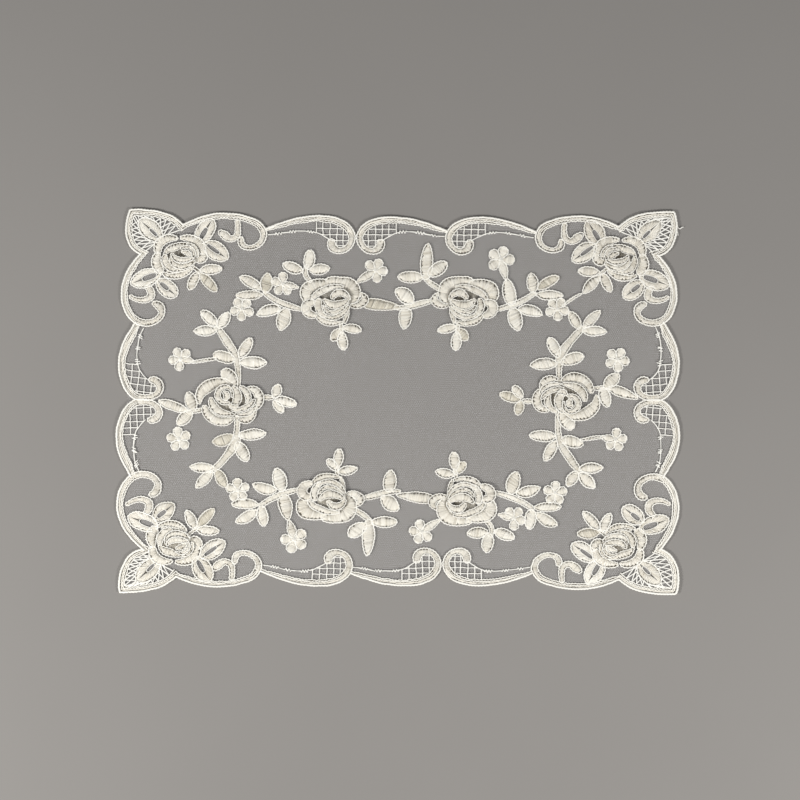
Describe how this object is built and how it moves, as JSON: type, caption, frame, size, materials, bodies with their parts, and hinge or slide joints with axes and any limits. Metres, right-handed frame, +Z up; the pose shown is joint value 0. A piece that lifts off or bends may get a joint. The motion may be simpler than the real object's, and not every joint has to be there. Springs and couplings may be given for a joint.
{
  "type": "lace table cover",
  "caption": "Rectangular mat of sheer ivory net with a corded, scalloped edge, pointed corner petals and applied rose sprays.",
  "frame": {"origin": "centre of the mat's bounding box, on the surface it lies on", "axes": "+Z up from the table, +X along the long side, +Y along the short side"},
  "size_m": [0.4516, 0.309, 0.0033],
  "materials": {
    "net": "sheer matt tulle",
    "work": "soft sheen ivory thread"
  },
  "bodies": {
    "root": {"net_ground": "net", "scalloped_border": "work", "corner_spray_top_left": "work", "corner_spray_top_right": "work", "corner_spray_bottom_right": "work", "corner_spray_bottom_left": "work", "rose_spray_left": "work", "rose_spray_right": "work", "rose_spray_top_right": "work", "rose_spray_top_left": "work", "rose_spray_bottom_left": "work", "rose_spray_bottom_right": "work"}
  },
  "joints": []
}
